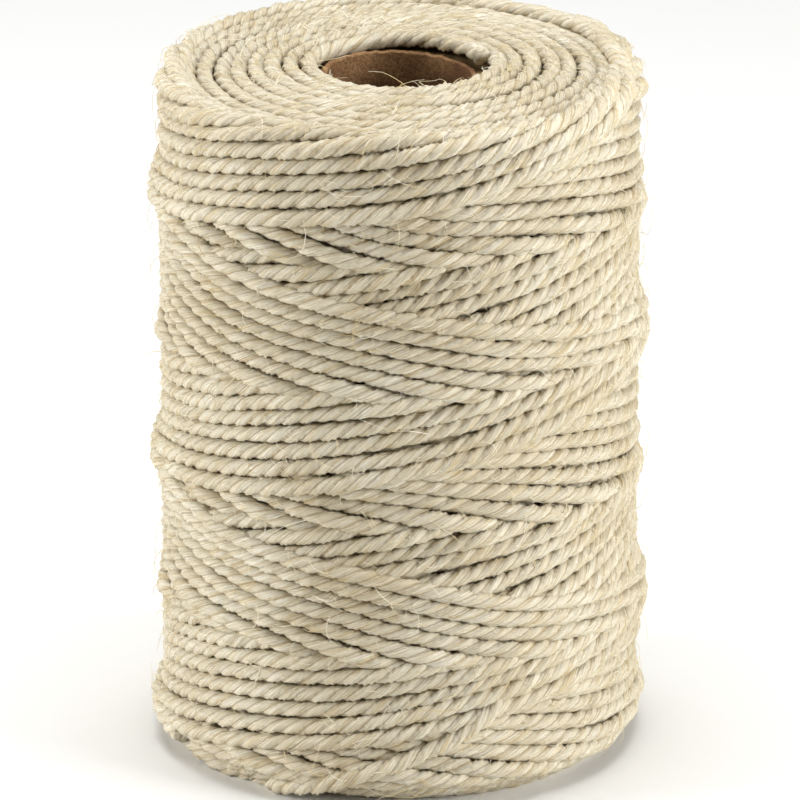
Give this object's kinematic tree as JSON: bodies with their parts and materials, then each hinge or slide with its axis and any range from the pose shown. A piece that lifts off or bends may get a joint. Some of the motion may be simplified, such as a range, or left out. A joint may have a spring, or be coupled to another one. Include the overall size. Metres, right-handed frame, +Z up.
{
  "type": "spool of sisal twine",
  "caption": "Cross-wound cylindrical spool of pale natural sisal twine on a cardboard tube, standing on one end.",
  "frame": {"origin": "middle of the end face that the spool stands on, on the tube's axis", "axes": "+Z up along the tube's axis, -Y towards the front"},
  "size_m": [0.101, 0.1, 0.147],
  "materials": {
    "cardboard": "matt grey-brown paper board",
    "sisal": "pale silky natural fibre, laid twine"
  },
  "bodies": {
    "root": {"core_tube": "cardboard", "wound_twine": "sisal"}
  },
  "joints": []
}
